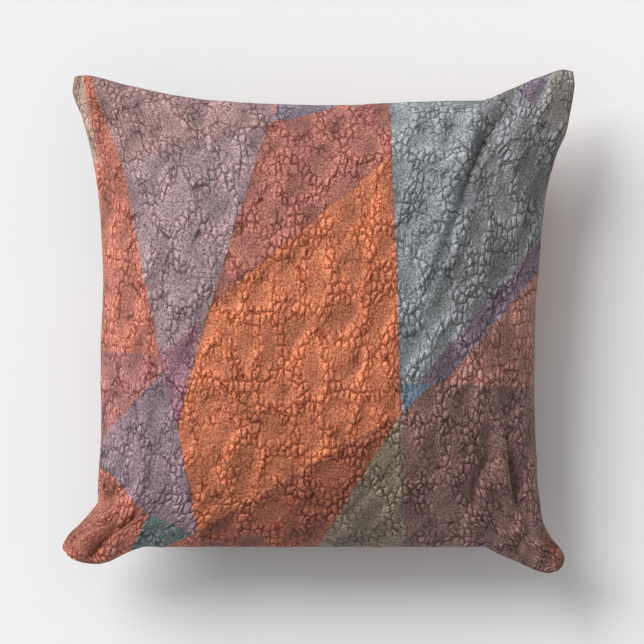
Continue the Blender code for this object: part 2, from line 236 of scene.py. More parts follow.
def outward_normals(grid, side):
    """Unit normal at each grid point, pointing out of the pillow."""
    normals = np.cross(np.gradient(grid, axis=1), np.gradient(grid, axis=0)) * side
    return normals / np.linalg.norm(normals, axis=2, keepdims=True)


def inset(grid, side, depth):
    """The grid moved into the pillow by `depth`."""
    return grid - outward_normals(grid, side) * depth


def resting(height):
    """Heights over the floor: the cloth flattens softly where it rests on its relief."""
    over = height - RELIEF_TOP
    flattened = (np.clip(over, -SOFT_REST, SOFT_REST) + SOFT_REST) ** 2 / (4 * SOFT_REST)
    return RELIEF_TOP + np.where(over > SOFT_REST, over, flattened)


# Cloth simulation

class Sheet:
    """Points and faces of one mesh, with a value of each attribute for each point."""

    def __init__(self):
        self.points = []
        self.faces = []
        self.count = 0
        self.extras = {}

    def add(self, points, **extras):
        """Add points with their attributes, and return their numbers in the same layout."""
        flat = np.asarray(points, float).reshape(-1, 3)
        self.points.append(flat)
        numbers = np.arange(self.count, self.count + len(flat)).reshape(np.shape(points)[:-1])
        self.count += len(flat)
        for name, value in extras.items():
            self.extras.setdefault(name, []).append((numbers.reshape(-1), value))
        return numbers

    def patch(self, numbers, flip=False):
        """Fill a grid of points with quads."""
        corners = (numbers[:-1, :-1], numbers[:-1, 1:], numbers[1:, 1:], numbers[1:, :-1])
        quads = np.stack(corners, axis=-1).reshape(-1, 4)
        self.faces.extend(map(tuple, (quads[:, ::-1] if flip else quads).tolist()))

    def band(self, first, second, flip=False):
        """Join two closed rings of points; the second may be coarser by a whole number."""
        count = len(first)
        share = count // len(second)
        for k in range(count):
            a, b = first[k], first[(k + 1) % count]
            c, d = second[((k + 1) % count) // share % len(second)], second[k // share]
            face = (a, b, d) if c == d else (a, b, c, d)
            self.faces.append(tuple(int(n) for n in (face[::-1] if flip else face)))

    def build(self, name):
        """A smooth object of the points and faces, with the attributes on its points."""
        mesh = bpy.data.meshes.new(name)
        mesh.from_pydata(np.concatenate(self.points).tolist(), [], self.faces)
        for extra, parts in self.extras.items():
            width = 3 if np.ndim(parts[0][1]) == 2 else 1
            values = np.zeros((self.count, width), np.float32)
            for numbers, value in parts:
                values[numbers] = np.reshape(value, (-1, width)) if np.ndim(value) else value
            kind, field = ("FLOAT_VECTOR", "vector") if width == 3 else ("FLOAT", "value")
            mesh.attributes.new(extra, kind, "POINT").data.foreach_set(field, values.ravel())
        mesh.shade_smooth()
        mesh.validate()
        obj = bpy.data.objects.new(name, mesh)
        bpy.context.scene.collection.objects.link(obj)
        return obj


def simulated(front, back):
    """Both panels blown up as slack cloth that is held at the seam: their new grids."""
    sheet = Sheet()
    top = sheet.add(front)
    bottom = sheet.add(back)
    sheet.patch(top)
    sheet.patch(bottom, flip=True)
    sheet.band(ring_of(top), ring_of(bottom), flip=True)
    obj = sheet.build("cloth_form")
    held = obj.vertex_groups.new(name="held")
    held.add(np.concatenate([ring_of(top), ring_of(bottom)]).tolist(), 1, "REPLACE")
    slack = obj.vertex_groups.new(name="slack")
    near_seam = np.clip(1 - cells_to_border(len(front) - 1) / SLACK_CELLS, 0, 1)
    for numbers in (top, bottom):
        for value in np.unique(near_seam):
            slack.add(numbers[near_seam == value].tolist(), float(value), "REPLACE")
    cloth = obj.modifiers.new("cloth", "CLOTH")
    cloth.collision_settings.use_collision = False
    settings = cloth.settings
    settings.quality = 6
    settings.mass = 0.25
    settings.bending_stiffness = 0.3
    settings.use_pressure = True
    settings.uniform_pressure_force = PRESSURE
    settings.effector_weights.gravity = 0
    settings.vertex_group_mass = "held"
    settings.vertex_group_shrink = "slack"
    settings.shrink_min = 0
    settings.shrink_max = -SLACK
    for step in range(1, CLOTH_STEPS + 1):
        bpy.context.scene.frame_set(step)
    shape = obj.evaluated_get(bpy.context.evaluated_depsgraph_get())
    points = np.array([v.co for v in shape.data.vertices])
    bpy.context.scene.frame_set(1)
    bpy.data.objects.remove(obj)
    return points[top], points[bottom]


def inflate(front, back):
    """The panels after the simulation, with the movement of each point capped."""
    moved = []
    for start, end in zip((front, back), simulated(front, back)):
        step = end - start
        length = np.linalg.norm(step, axis=2, keepdims=True)
        moved.append(start + step * np.minimum(1, REACH / np.maximum(length, 1e-9)))
    return moved


def finer(grid):
    """The grid with FINER times as many cells, through the same points."""
    size = len(grid)
    at = np.arange((size - 1) * FINER + 1) / FINER
    base = np.clip(at.astype(int), 0, size - 2)
    t = at - base
    curve = (-0.5 * t + t**2 - 0.5 * t**3, 1 - 2.5 * t**2 + 1.5 * t**3,
             0.5 * t + 2 * t**2 - 1.5 * t**3, -0.5 * t**2 + 0.5 * t**3)
    weights = np.zeros((len(at), size))
    for offset, share in zip((-1, 0, 1, 2), curve):
        np.add.at(weights, (np.arange(len(at)), np.clip(base + offset, 0, size - 1)), share)
    return np.einsum("bj,ajk->abk", weights, np.einsum("ai,ijk->ajk", weights, grid))


# Folds of the front panel near its corners, in millimetres: route, height (below 0 for a valley), width
FOLDS = (
    (((160, 190), (143, 161), (133, 147), (127, 134), (118, 116), (112, 96), (100, 70)), -7.5, 4),
    (((148, 190), (134, 168), (120, 146), (104, 106), (90, 56), (76, 10)), 5.5, 9),
    (((134, 148), (140, 132), (146, 120), (144, 104)), -3, 3.5),
    (((166, 176), (158, 150), (150, 128), (152, 96)), 3, 8),
    (((124, 96), (101, 46), (78, -4)), 2.4, 8),
    (((110, 92), (96, 56), (84, 20)), -2.2, 4),
    (((188, 168), (181, 140), (174, 110), (170, 70)), -2.6, 3),
    (((182, 168), (174, 136), (166, 100), (163, 60)), -2.2, 3),
    (((-186, -196), (-174, -179), (-163, -168), (-150, -158), (-140, -150)), -7.5, 4.5),
    (((-194, -184), (-182, -170), (-168, -157), (-154, -146)), 5, 7),
    (((-174, -190), (-160, -178), (-140, -166)), 3, 8),
    (((-172, -147), (-160, -136), (-148, -128)), -3.5, 5),
    (((148, -80), (152, -112), (158, -140), (164, -160)), -6, 3.5),
    (((139, -84), (143, -112), (150, -140)), 4, 6),
    (((136, -104), (127, -122), (122, -138), (121, -154)), -5, 4.5),
    (((168, -150), (174, -168), (182, -184)), 3, 6),
    (((164, -168), (158, -180), (150, -186)), -4, 5),
    (((-176, 176), (-160, 160), (-146, 142)), -2.5, 6),
    (((-186, 184), (-172, 176), (-152, 168)), 2, 7),
)


def fold_heights(plan):
    """Height in metres that the folds add at each plan position."""
    total = np.zeros(plan.shape[:2])
    point = plan * 1000
    for route, height, width in FOLDS:
        route = np.array(route, float)
        steps = np.linalg.norm(np.diff(route, axis=0), axis=1)
        ends = np.concatenate([[0], np.cumsum(steps)])
        nearest = np.full(total.shape, np.inf)
        along = np.zeros(total.shape)
        for start, end, step, before in zip(route, route[1:], steps, ends):
            t = np.clip(((point - start) @ (end - start)) / step**2, 0, 1)
            away = np.linalg.norm(point - start - t[..., None] * (end - start), axis=2)
            closer = away < nearest
            nearest = np.where(closer, away, nearest)
            along = np.where(closer, (before + t * step) / ends[-1], along)
        taper = np.clip(np.minimum(along, 1 - along) * 4, 0, 1)
        taper = taper * taper * (3 - 2 * taper)
        total += height / 1000 * taper * np.exp(-((nearest / width) ** 2))
    return total


def edge_fade(cells, width):
    """0 on the grid's border, rising to 1 over `width` cells."""
    t = np.clip(cells_to_border(cells) / width, 0, 1)
    return t * t * (3 - 2 * t)


def lowest(height, reach):
    """The lowest height within `reach` cells of each point."""
    for axis in (0, 1):
        size = height.shape[axis]
        rim = [(0, 0), (0, 0)]
        rim[axis] = (reach, reach)
        wide = np.pad(height, rim, mode="edge")
        height = np.min([wide.take(range(k, k + size), axis) for k in range(2 * reach + 1)], axis=0)
    return height


def make_forms():
    """Fine outer grids of the front and the back panel, and coarse ones that stay below every valley."""
    coarse, fine = grid_lines(CELLS), grid_lines(CELLS * FINER)
    front, back = inflate(outer_surface(1, coarse), outer_surface(-1, coarse))
    border, weight = seam_line(fine)
    half = mouth_shape(weight)[0]
    forms, cores = {}, {}
    for side, grid in ((1, front), (-1, back)):
        grid = finer(grid)
        normals = outward_normals(grid, side)
        height = np.zeros(grid.shape[:2])
        if side == 1:
            height = fold_heights(grid[..., :2]) * edge_fade(CELLS * FINER, 7)
            grid += normals * height[..., None]
        else:
            grid[..., 2] = resting(grid[..., 2])
        forms[side] = with_border(grid, seam_ring(border, weight, 0, side * (half + FOLD)))
        below = normals * (height - lowest(height, FINER))[..., None]
        cores[side] = (forms[side] - below)[::FINER, ::FINER]
    return forms, cores


# Node building, for shader and geometry trees alike

class Nodes:
    """Short calls for the nodes of one tree; each returns an output socket."""

    def __init__(self, tree):
        self.tree = tree

    def node(self, kind, **settings):
        made = self.tree.nodes.new(kind)
        for name, value in settings.items():
            setattr(made, name, value)
        return made

    def set(self, socket, value):
        """Give a socket a plain value, or link it to another socket."""
        if isinstance(value, bpy.types.NodeSocket):
            self.tree.links.new(value, socket)
        else:
            socket.default_value = value

    def attribute(self, name, vector=True):
        if self.tree.bl_idname == "GeometryNodeTree":
            kind = "FLOAT_VECTOR" if vector else "FLOAT"
            made = self.node("GeometryNodeInputNamedAttribute", data_type=kind)
            made.inputs["Name"].default_value = name
            return made.outputs["Attribute"]
        made = self.node("ShaderNodeAttribute", attribute_name=name)
        return made.outputs["Vector" if vector else "Fac"]

    def place(self):
        """The object's own coordinates, in metres."""
        return self.node("ShaderNodeTexCoord").outputs["Object"]

    def math(self, operation, a, b, clamp=False):
        made = self.node("ShaderNodeMath", operation=operation, use_clamp=clamp)
        self.set(made.inputs[0], a)
        self.set(made.inputs[1], b)
        return made.outputs[0]

    def times(self, a, b):
        return self.math("MULTIPLY", a, b)

    def plus(self, a, b, clamp=False):
        return self.math("ADD", a, b, clamp)

    def vector(self, operation, a, b):
        made = self.node("ShaderNodeVectorMath", operation=operation)
        self.set(made.inputs[0], a)
        self.set(made.inputs["Scale" if operation == "SCALE" else 1], b)
        return made.outputs["Value" if operation == "DOT_PRODUCT" else "Vector"]

    def noise(self, at, size, detail=2.0, rough=0.5, colour=False):
        """Noise with features about `size` wide."""
        made = self.node("ShaderNodeTexNoise", noise_dimensions="3D")
        self.set(made.inputs["Vector"], at)
        made.inputs["Scale"].default_value = 1 / size
        made.inputs["Detail"].default_value = detail
        made.inputs["Roughness"].default_value = rough
        return made.outputs["Color" if colour else 0]

    def cells(self, at, feature="DISTANCE_TO_EDGE", random=1.0):
        """Distance in flat Voronoi cells one wide: to the nearest border, or to the middle with F1."""
        made = self.node("ShaderNodeTexVoronoi", voronoi_dimensions="2D", feature=feature)
        self.set(made.inputs["Vector"], at)
        made.inputs["Scale"].default_value = 1
        made.inputs["Randomness"].default_value = random
        return made.outputs["Distance"]

    def drift(self, at, size):
        """A smooth random shift of up to half a unit each way, in patches about `size` wide."""
        return self.vector("SUBTRACT", self.noise(at, size, detail=1, colour=True), (0.5, 0.5, 0.5))

    def shifted(self, at, shift, reach):
        """The place moved by `reach` times a shift."""
        return self.vector("ADD", at, self.vector("SCALE", shift, reach))

    def measured(self, at, first, second):
        """The place as measured along two vectors."""
        made = self.node("ShaderNodeCombineXYZ")
        self.set(made.inputs[0], self.vector("DOT_PRODUCT", at, first))
        self.set(made.inputs[1], self.vector("DOT_PRODUCT", at, second))
        return made.outputs[0]

    def slanted(self, at, width, height):
        """The place on a net of diamonds of this width and height."""
        return self.measured(at, (1 / width, 1 / height, 0), (1 / width, -1 / height, 0))

    def leaning(self, at, across, along):
        """The place in units of these lengths, turned so that forms run up to the right."""
        return self.measured(at, (0.91 / across, -0.42 / across, 0), (0.42 / along, 0.91 / along, 0))

    def ramp(self, value, low, high, start=0.0, end=1.0, smooth=True):
        """The value's range from low to high, mapped to start to end."""
        made = self.node("ShaderNodeMapRange", interpolation_type="SMOOTHSTEP" if smooth else "LINEAR")
        for socket, given in zip(made.inputs, (value, low, high, start, end)):
            self.set(socket, given)
        return made.outputs[0]

    def patches(self, at, size, low, high, start=0.0, end=1.0, detail=1):
        """Soft patches: the range of noise about `size` wide from low to high, mapped to start to end."""
        return self.ramp(self.noise(at, size, detail=detail), low, high, start, end)

    def mix(self, share, a, b, blend="MIX"):
        """Colour a where the share is 0, and b where it is 1."""
        made = self.node("ShaderNodeMix", data_type="RGBA", blend_type=blend)
        self.set(made.inputs[0], share)
        self.set(made.inputs[6], a)
        self.set(made.inputs[7], b)
        return made.outputs[2]

    def shaded(self, colour, shade):
        """The colour times a plain factor."""
        return self.mix(1.0, colour, self.vector("SCALE", (1, 1, 1), shade), blend="MULTIPLY")


def linear(colour):
    """A linear RGBA colour from sRGB values of 0 to 255."""
    shares = [c / 255 for c in colour]
    return tuple(c / 12.92 if c <= 0.04045 else ((c + 0.055) / 1.055) ** 2.4 for c in shares) + (1.0,)


def leather_relief(nodes, cloth):
    """Relief of the leather, from its place on the flat cloth in millimetres.

    Calm hollows have raised bands of coarse pebbles between them, with a deep crease here and there.
    Returns the height in millimetres of the broad forms, that of the pebbles, the painted shade of the
    creases, and the painted light and shade of the broad forms."""
    jitter = nodes.drift(cloth, 5.5)
    bent = nodes.shifted(cloth, nodes.drift(cloth, 36), 22)
    ragged = nodes.shifted(cloth, jitter, 1.8)
    crooked = nodes.shifted(bent, jitter, 3)

    plates = nodes.cells(nodes.slanted(crooked, 38, 60), random=0.85)
    patchy = nodes.patches(cloth, 22, 0.47, 0.66, detail=2)
    clear = nodes.patches(nodes.vector("ADD", cloth, (70, 20, 0)), 36, 0.34, 0.56, 0.45, 1)
    band = nodes.times(nodes.ramp(plates, 0.05, 0.27, 1, 0), clear)
    coarse = nodes.math("MAXIMUM", band, nodes.times(patchy, 0.7))
    swell = nodes.patches(nodes.leaning(bent, 17, 62), 1, 0.32, 0.68, -1, 1)

    pebbles = nodes.cells(nodes.vector("MULTIPLY", ragged, (1 / 5.2, 1 / 8.8, 0)), random=0.85)
    wrinkles = nodes.cells(nodes.slanted(nodes.vector("ADD", ragged, (40, 9, 0)), 13, 42))
    deep = nodes.times(nodes.ramp(plates, 0, 0.05, 1, 0), nodes.patches(cloth, 15, 0.46, 0.64))
    wrinkle = nodes.times(nodes.ramp(wrinkles, 0, 0.10, 1, 0), nodes.patches(cloth, 12, 0.48, 0.64))
    wrinkle = nodes.times(wrinkle, nodes.ramp(coarse, 0, 0.5, 0.35, 1))

    ridge = nodes.times(nodes.ramp(plates, 0.02, 0.38, 1, 0), clear)
    broad = nodes.plus(nodes.times(ridge, 1.2), nodes.times(nodes.plus(swell, 1), 0.5))
    broad = nodes.math("SUBTRACT", broad, nodes.times(deep, 0.45))
    bumps = nodes.times(nodes.ramp(pebbles, 0, 0.34), nodes.ramp(coarse, 0, 1, 0.05, 0.75))
    bumps = nodes.math("SUBTRACT", bumps, nodes.times(wrinkle, 0.35))

    # Painted shade: the colour is darkened along the lines between pebbles, the wrinkles and the deep
    # creases
    painted_crease_shade = nodes.times(nodes.ramp(pebbles, 0, 0.16, 1, 0), nodes.ramp(coarse, 0, 1, 0.06, 0.82))
    painted_crease_shade = nodes.math("MAXIMUM", painted_crease_shade, nodes.times(wrinkle, 0.8))
    painted_crease_shade = nodes.math("MAXIMUM", painted_crease_shade, nodes.times(deep, 0.85))
    # Painted light and shade: the colour is lighter on the ridges and higher swells, and darker in the dips
    # between them
    painted_form_shading = nodes.times(nodes.ramp(ridge, 0, 1, 0.78, 1.18), nodes.ramp(swell, -1, 1, 0.78, 1.17))
    return broad, bumps, painted_crease_shade, painted_form_shading


def relief_group():
    """Geometry nodes that raise the cover's face by the leather's relief."""
    tree = bpy.data.node_groups.new("leather_relief", "GeometryNodeTree")
    tree.interface.new_socket("Geometry", in_out="INPUT", socket_type="NodeSocketGeometry")
    tree.interface.new_socket("Geometry", in_out="OUTPUT", socket_type="NodeSocketGeometry")
    nodes = Nodes(tree)
    entry = nodes.node("NodeGroupInput")
    result = nodes.node("NodeGroupOutput")
    broad, bumps, _, _ = leather_relief(nodes, nodes.attribute("cloth"))
    metres = nodes.times(nodes.plus(broad, bumps), 0.001)
    shown = nodes.times(metres, nodes.attribute("relief", vector=False))
    normal = nodes.node("GeometryNodeInputNormal").outputs["Normal"]
    move = nodes.node("GeometryNodeSetPosition")
    nodes.set(move.inputs["Geometry"], entry.outputs[0])
    nodes.set(move.inputs["Offset"], nodes.vector("SCALE", normal, shown))
    nodes.set(result.inputs[0], move.outputs[0])
    return tree


def apply_relief(obj):
    """Raise the outer face, and keep the result as the object's own mesh."""
    modifier = obj.modifiers.new("relief", "NODES")
    modifier.node_group = relief_group()
    graph = bpy.context.evaluated_depsgraph_get()
    shape = obj.evaluated_get(graph)
    mesh = bpy.data.meshes.new_from_object(shape, preserve_all_data_layers=True, depsgraph=graph)
    obj.modifiers.clear()
    obj.data = mesh


# The print: plain colour blocks in the order they are laid down. Each block lies to the left of its
# route, in millimetres seen from the front; `soft` is the width of its edge.
BLOCKS = (
    ((146, 150, 152), ((54.6, 230), (64.6, -50), (77, -50), (176, 63), (330, 238)), 0.5),
    ((141, 140, 143), ((138, 230), (92, -60)), 50),
    ((127, 115, 127), ((150, 200), (172, 173), (190, 205)), 0.5),
    ((160, 153, 149), ((190, 205), (178, 165), (240, 120)), 2),
    ((173, 126, 114), ((250, 126), (98, -50), (250, -56)), 0.5),
    ((136, 118, 131), ((250, 147.5), (77, -50), (98, -50), (250, 126)), 0.5),
    ((140, 108, 102), ((250, -56), (98, -50), (90, -50), (65.6, -73), (71, -215)), 0.8),
    ((142, 92, 80), ((260, -166), (181, -166), (193, -215)), 8),
    ((115, 132, 148), ((64.6, -50), (65.6, -73), (90, -50), (64.6, -50)), 0.5),
    ((161, 137, 140), ((-260, -36), (-125, -36), (-94, -5), (-85, 12), (-18, 230)), 0.5),
    ((165, 134, 132), ((-260, 101), (-160, 125), (-45, 153), (-18, 230)), 8),
    ((171, 111, 100), ((-18, 230), (-85, 12), (59, 130), (55, 230)), 0.5),
    ((132, 121, 133), ((-9, 215), (-40, 158), (12, 170), (60, 215)), 0.8),
    ((186, 119, 102), ((-90, -260), (-90, -150), (-260, -90)), 0.5),
    ((161, 96, 74), ((-21.5, -215), (65.5, -72), (-95, -167), (-97, -215)), 0.5),
    ((142, 127, 111), ((71, -215), (65.5, -72), (-21.5, -215)), 0.8),
    ((203, 125, 91), ((57.6, 130), (-85, 12), (-112, -85), (-95, -167), (65.5, -72), (57.6, 130)), 0.8),
    ((192, 123, 105), ((-260, -28), (-126, -28), (-155, 119), (-183, 193), (-200, 238)), 0.5),
    ((173, 118, 113), ((-260, -188), (-172, -93), (-123, -40), (-126, -28), (-260, -17)), 0.8),
    ((153, 130, 140), ((-123, -40), (-172, -93), (-176, -112), (-139, -154), (-97, -170), (-112, -85),
                       (-123, -40)), 0.6),
    ((152, 110, 123), ((-112, -85), (-92, 0), (-126, -29), (-123, -40), (-112, -85)), 0.6),
    ((115, 129, 128), ((-135.6, -154.2), (-153.4, -186.7), (-126.4, -182.1), (-100.3, -170.2),
                      (-135.6, -154.2)), 0.6),
    ((193, 163, 150), ((-260, 128), (-176, 128), (-190, 195), (-199, 238)), 1.5),
)
GROUND = (140, 108, 102)
PRINT_SCALE = 0.985          # the print's size on the cloth, which the full crown brings closer to the eye


def printed_colour(nodes, plan):
    """Colour of the print at a plan position, held as (x, y, 1) in millimetres."""
    colour = linear(GROUND)
    for tone, route, soft in BLOCKS:
        inside = None
        route = [(x * PRINT_SCALE, y * PRINT_SCALE) for x, y in route]
        for (x0, y0), (x1, y1) in zip(route, route[1:]):
            length = math.hypot(x1 - x0, y1 - y0)
            normal = ((y0 - y1) / length, (x1 - x0) / length)
            line = (*normal, -(normal[0] * x0 + normal[1] * y0))
            distance = nodes.vector("DOT_PRODUCT", plan, line)
            inside = distance if inside is None else nodes.math("MINIMUM", inside, distance)
        share = nodes.ramp(inside, -soft / 2, soft / 2)
        colour = nodes.mix(share, colour, linear(tone))
    return colour


# Materials

BAND_SCALE = 0.314           # scale of a wave texture whose bands are one unit apart


def new_material(name):
    """A material, the nodes of its tree, and its shader."""
    material = bpy.data.materials.new(name)
    material.use_nodes = True
    return material, Nodes(material.node_tree), material.node_tree.nodes["Principled BSDF"]


def surface(nodes, shader, colour, roughness, height, depth):
    """Give a shader its colour, its roughness, and a bump whose height of 1 stands for `depth` metres."""
    nodes.set(shader.inputs["Base Color"], colour)
    nodes.set(shader.inputs["Roughness"], roughness)
    bump = nodes.node("ShaderNodeBump")
    bump.inputs["Distance"].default_value = depth
    bump.inputs["Strength"].default_value = 1
    nodes.set(bump.inputs["Height"], height)
    nodes.set(shader.inputs["Normal"], bump.outputs["Normal"])


def leather_material():
    """Printed leather cloth: colour blocks, a fine grain, painted shade in the creases, pores and towards
    the seam, and painted light and shade on the broad forms.
    """
    material, nodes, shader = new_material("printed_leather")
    cloth = nodes.attribute("cloth")
    _, bumps, painted_crease_shade, painted_form_shading = leather_relief(nodes, cloth)
    grain = nodes.noise(nodes.vector("MULTIPLY", cloth, (1, 0.8, 1)), 1.5, detail=3, rough=0.7)
    pores = nodes.cells(nodes.vector("MULTIPLY", cloth, (1 / 2.2, 1 / 2.8, 0)), feature="F1")
    blotch = nodes.noise(cloth, 30, detail=3)
    # Painted shade: the leather is coloured darker towards the seam, down to 0.76 at its edge
    painted_seam_shade = nodes.ramp(nodes.attribute("relief", vector=False), 0.2, 1, 0.76, 1)

    # Painted shade in the creases and pores, with the grain's low spots darker too: the print is deepened
    # and darkened there, and slightly lighter on the crests
    painted_hollow_shade = nodes.plus(painted_crease_shade, nodes.ramp(grain, 0.30, 0.55, 0.50, 0))
    painted_hollow_shade = nodes.plus(painted_hollow_shade, nodes.ramp(pores, 0.1, 0.42, 0.30, 0), clamp=True)
    shaded_print = nodes.node("ShaderNodeGamma")
    nodes.set(shaded_print.inputs["Color"], printed_colour(nodes, nodes.attribute("plan")))
    nodes.set(shaded_print.inputs["Gamma"], nodes.ramp(painted_hollow_shade, 0, 1, 1.0, 1.45, smooth=False))
    shade = nodes.times(nodes.ramp(painted_hollow_shade, 0, 1, 1.08, 0.40, smooth=False),
                        nodes.ramp(blotch, 0.25, 0.75, 0.80, 1.20, smooth=False))
    shade = nodes.times(shade, nodes.ramp(grain, 0.42, 0.66, 0.98, 1.45))
    shade = nodes.times(nodes.times(shade, painted_form_shading), painted_seam_shade)
    height = nodes.plus(nodes.times(grain, 0.9), nodes.times(bumps, 1.4))
    height = nodes.plus(height, nodes.ramp(pores, 0.1, 0.6, 0, 0.2))
    surface(nodes, shader, nodes.shaded(shaded_print.outputs[0], shade), nodes.ramp(painted_hollow_shade, 0, 0.8, 0.52, 0.75),
            height, 0.001)
    shader.inputs["Specular IOR Level"].default_value = 0.3
    shader.inputs["Sheen Weight"].default_value = 0.05
    return material


def woven_material(name, tone, pitch, rough=0.85, contrast=0.25):
    """Cloth of crossing threads, `pitch` metres apart."""
    material, nodes, shader = new_material(name)
    place = nodes.place()
    waves = []
    for axis in ("X", "Y"):
        wave = nodes.node("ShaderNodeTexWave", wave_type="BANDS", bands_direction=axis)
        nodes.set(wave.inputs["Vector"], place)
        wave.inputs["Scale"].default_value = BAND_SCALE / pitch
        wave.inputs["Distortion"].default_value = 0.6
        waves.append(wave.outputs["Fac"])
    weave = nodes.times(*waves)
    # Painted shade: the colour is darker in the gaps between the threads, and varies in soft patches of tone
    shade = nodes.times(nodes.ramp(weave, 0, 1, 1 - contrast, 1 + contrast / 2),
                        nodes.patches(place, 0.03, 0.3, 0.7, 0.94, 1.05, detail=3))
    surface(nodes, shader, nodes.shaded(linear(tone), shade), nodes.ramp(weave, 0, 1, rough, rough - 0.12),
            weave, 0.0002)
    shader.inputs["Sheen Weight"].default_value = 0.15
    return material


def metal_material(name, tone):
    """Plated metal with fine scratches, tarnish and brighter edges."""
    material, nodes, shader = new_material(name)
    place = nodes.place()
    scratches = nodes.noise(nodes.vector("MULTIPLY", place, (1, 9, 3)), 0.0012, detail=4)
    tarnish = nodes.patches(place, 0.004, 0.4, 0.7, detail=3)
    edge = nodes.ramp(nodes.node("ShaderNodeNewGeometry").outputs["Pointiness"], 0.48, 0.56)
    colour = nodes.mix(tarnish, linear(tone), linear([c * 0.72 for c in tone]))
    colour = nodes.mix(nodes.times(edge, 0.5), colour, linear([min(255, c * 1.2) for c in tone]))
    surface(nodes, shader, colour, nodes.ramp(scratches, 0.3, 0.7, 0.26, 0.46), scratches, 0.00004)
    shader.inputs["Metallic"].default_value = 1
    return material


def plastic_material(name, tone):
    """Moulded nylon of the coils."""
    material, nodes, shader = new_material(name)
    cloudy = nodes.noise(nodes.place(), 0.002, detail=3)
    colour = nodes.mix(nodes.ramp(cloudy, 0.35, 0.65), linear(tone), linear([c * 0.8 for c in tone]))
    surface(nodes, shader, colour, nodes.ramp(cloudy, 0.3, 0.7, 0.34, 0.5), cloudy, 0.00003)
    return material


def fibre_material():
    """Loose white polyester fibres."""
    material, nodes, shader = new_material("loose_fibres")
    place = nodes.place()
    clumps = nodes.noise(place, 0.02, detail=4, rough=0.6)
    strands = nodes.noise(nodes.vector("MULTIPLY", place, (1, 6, 2)), 0.003, detail=5, rough=0.75)
    colour = nodes.mix(nodes.ramp(clumps, 0.3, 0.7), linear((228, 227, 222)), linear((246, 246, 244)))
    surface(nodes, shader, colour, nodes.ramp(strands, 0.2, 0.8, 0.85, 1.0), strands, 0.0012)
    shader.inputs["Sheen Weight"].default_value = 0.4
    return material


def dress(obj, *materials):
    """Give an object these materials and no others."""
    obj.data.materials.clear()
    for material in materials:
        obj.data.materials.append(material)


# Cover

def stands_for(obj, slot, node, *materials):
    """Dress a piece, and let it ride on the pillow in the place of this CAD node."""
    dress(obj, *materials)
    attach(obj, "pillow")
    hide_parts(node)
    return obj


def cover_panel(node, slot, side, form, core, leather, backing):
    """One panel: the outer face with its relief, the folded edge, the allowance and the inner face."""
    cells = CELLS * FINER
    border, weight = seam_line(grid_lines(cells))
    half = mouth_shape(weight)[0]
    steps = np.linspace(-CLOTH_HALF, CLOTH_HALF, cells + 1)
    cloth = np.dstack([*np.meshgrid(steps * side, steps), np.zeros((cells + 1, cells + 1))])
    sheet = Sheet()

    def add(points, flat, relief):
        plan = points.reshape(-1, 3) * (side * 1000, 1000, 0) + (0, 0, 1)
        return sheet.add(points, plan=plan, cloth=flat.reshape(-1, 3), relief=relief)

    # The relief attribute fades the leather's relief towards the seam and also sets the painted shade along
    # it
    face = add(form, cloth, (0.25 + 0.75 * edge_fade(cells, 4)).reshape(-1))
    rings = [ring_of(face)]
    edge = ring_of(cloth)
    away = np.column_stack([spokes(edge[:, :2]), np.zeros(len(edge))])
    # Rings round the fold: outwards, up from the seam's gap, millimetres on along the cloth, relief
    fold = ((0.0002, FOLD * 0.75, 1.0, 0.12), (0.0003, FOLD * 0.45, 1.8, 0), (0.0001, FOLD * 0.18, 2.5, 0),
            (-FOLD * 0.2, 0, 3.2, 0), (-ALLOWANCE, 0, 10, 0), (-ALLOWANCE, CLOTH, 11, 0),
            (-CLOTH * 1.35, CLOTH, 18, 0))
    for outward, rise, beyond, relief in fold:
        ring = seam_ring(border, weight, outward, side * (half + rise))
        rings.append(add(ring, edge + away * beyond, relief))
    for first, second in zip(rings, rings[1:]):
        sheet.band(first, second, flip=side == 1)
    crease = seam_ring(border, weight, -CLOTH * 1.35, side * (half + CLOTH * 1.4))[::FINER]
    lining = add(with_border(inset(core, side, LINING_DEPTH), crease), cloth[::FINER, ::FINER], 0)
    outside = len(sheet.faces)
    sheet.band(rings[-1], ring_of(lining), flip=side == 1)
    sheet.patch(lining, flip=side == 1)
    inside = len(sheet.faces)
    sheet.patch(face, flip=side == -1)
    obj = sheet.build(node + "_cloth")
    apply_relief(obj)
    stands_for(obj, slot, node, leather, backing)
    backed = np.zeros(len(obj.data.polygons), np.int32)
    backed[outside:inside] = 1
    obj.data.polygons.foreach_set("material_index", backed)


# Threads and coils

def tube(sheet, route, radius, sides=6, up=(0, 0, 1)):
    """Add a closed round tube along a route of points."""
    route = np.asarray(route, float)
    ahead = np.gradient(route, axis=0)
    ahead /= np.linalg.norm(ahead, axis=1, keepdims=True)
    across = np.cross(ahead, up)
    across /= np.linalg.norm(across, axis=1, keepdims=True)
    above = np.cross(across, ahead)
    rows = []
    for turn in np.arange(sides) * 2 * math.pi / sides:
        rows.append(route + radius * (math.cos(turn) * across + math.sin(turn) * above))
    numbers = sheet.add(np.array(rows))
    for first, second in zip(numbers, np.roll(numbers, -1, axis=0)):
        sheet.patch(np.array([first, second]), flip=True)
    sheet.faces.append(tuple(numbers[:, 0].tolist()))
    sheet.faces.append(tuple(numbers[::-1, -1].tolist()))


def distances(route):
    """How far each point of a route is from its start."""
    return np.concatenate([[0], np.cumsum(np.linalg.norm(np.diff(route, axis=0), axis=1))])


def points_along(route, steps):
    """Points at these distances along a route."""
    return np.stack([np.interp(steps, distances(route), route[:, k]) for k in range(3)], axis=-1)


def stitches(name, route, pitch, radius, above):
    """A row of separate stitches along a route, each rising a little between its two holes."""
    sheet = Sheet()
    arch = np.linspace(0, 1, 7)
    rise = radius * 0.8 * np.outer(np.sin(arch * math.pi), above)
    for first in np.arange(pitch * 0.1, distances(route)[-1] - pitch, pitch):
        tube(sheet, points_along(route, first + arch * pitch * 0.8) + rise, radius, up=above)
    return sheet.build(name)


